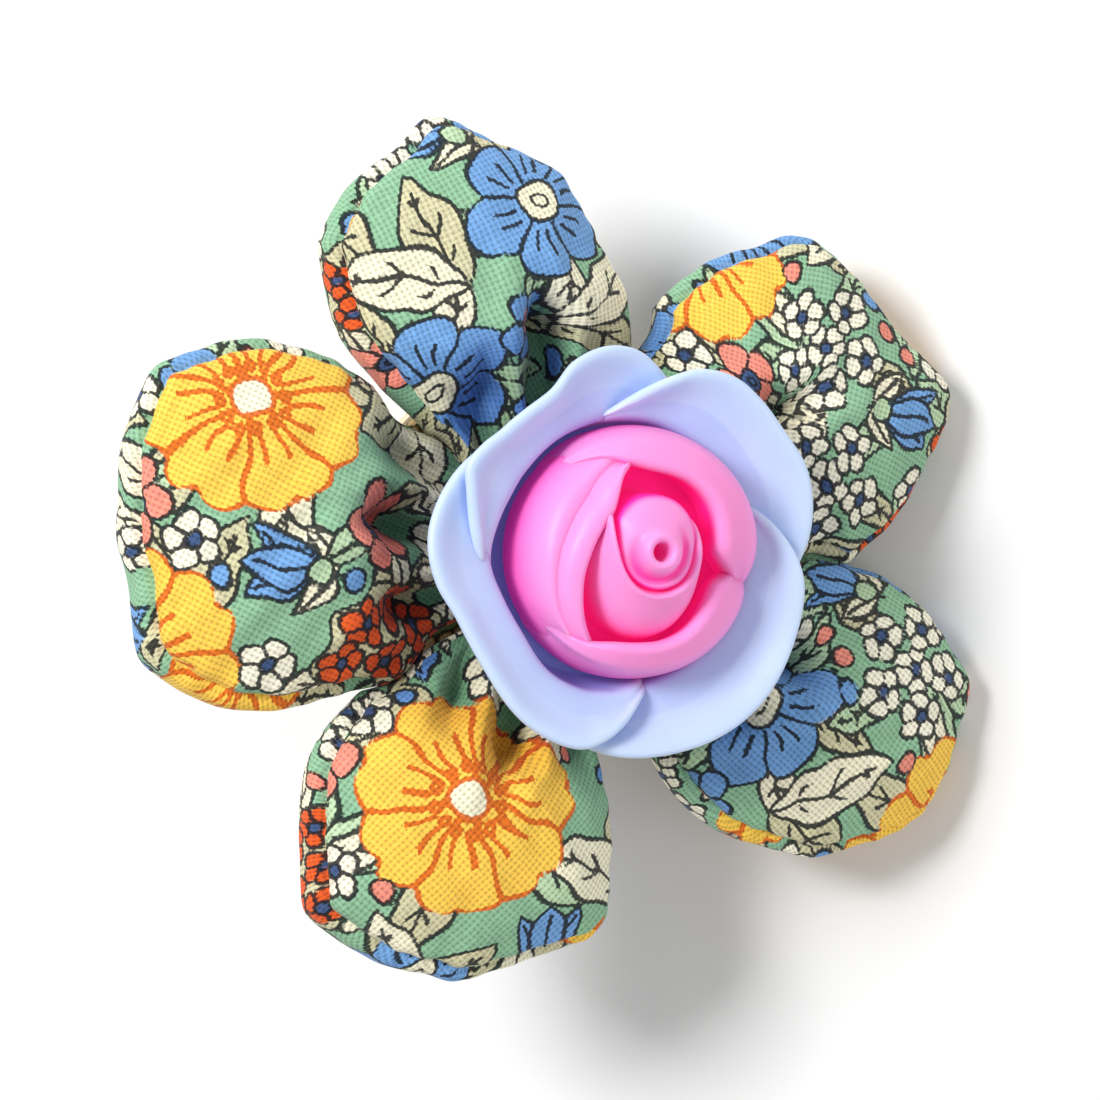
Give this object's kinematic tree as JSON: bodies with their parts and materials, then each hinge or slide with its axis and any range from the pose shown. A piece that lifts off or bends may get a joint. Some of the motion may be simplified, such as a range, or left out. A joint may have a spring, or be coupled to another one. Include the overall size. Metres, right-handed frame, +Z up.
{
  "type": "flower earring",
  "caption": "Stud earring shaped as a flower: stuffed printed-cotton petals round a two-colour resin rose, on a gold-tone disc with ear post, soft stopper and omega wire clip.",
  "frame": {"origin": "on the surface that the earring lies on, under the middle of its bounding box", "axes": "+Z up from that surface, +X towards the side to which the flower leans, which is the hinge's side of the clip, +Y along the hinge, towards the first petal"},
  "size_m": [0.0416, 0.0448, 0.0258],
  "materials": {
    "printed_cotton": "plain-weave cotton with a small floral print, sewn, turned and stuffed",
    "blue_resin": "satin cast resin, periwinkle blue",
    "pink_resin": "satin cast resin, bright pink",
    "gold_plate": "polished pale gold plating",
    "gold_wire": "polished pale gold plating on spring wire",
    "clear_silicone": "milky translucent silicone"
  },
  "bodies": {
    "flower": {"petal_1": "printed_cotton", "petal_2": "printed_cotton", "petal_3": "printed_cotton", "petal_4": "printed_cotton", "petal_5": "printed_cotton", "rose_petals": "blue_resin", "rose_bud": "pink_resin", "petal_plate": "gold_plate", "clip_base": "gold_plate"},
    "wire": {"omega_wire": "gold_wire"},
    "stopper": {"ear_stopper": "clear_silicone"}
  },
  "joints": [
    {"name": "wire_hinge", "type": "hinge", "parent": "flower", "child": "wire", "pos_m": [0.00178, -0.00039, 0.00321], "axis": [0.0135, -0.9996, 0.0228], "range_deg": [0, 90], "stiffness_Nm_per_rad": 0.002, "springref_deg": -11.46},
    {"name": "stopper_slide", "type": "slide", "parent": "flower", "child": "stopper", "axis": [-0.5081, -0.0265, -0.8609], "range_m": [0, 0.014]}
  ]
}
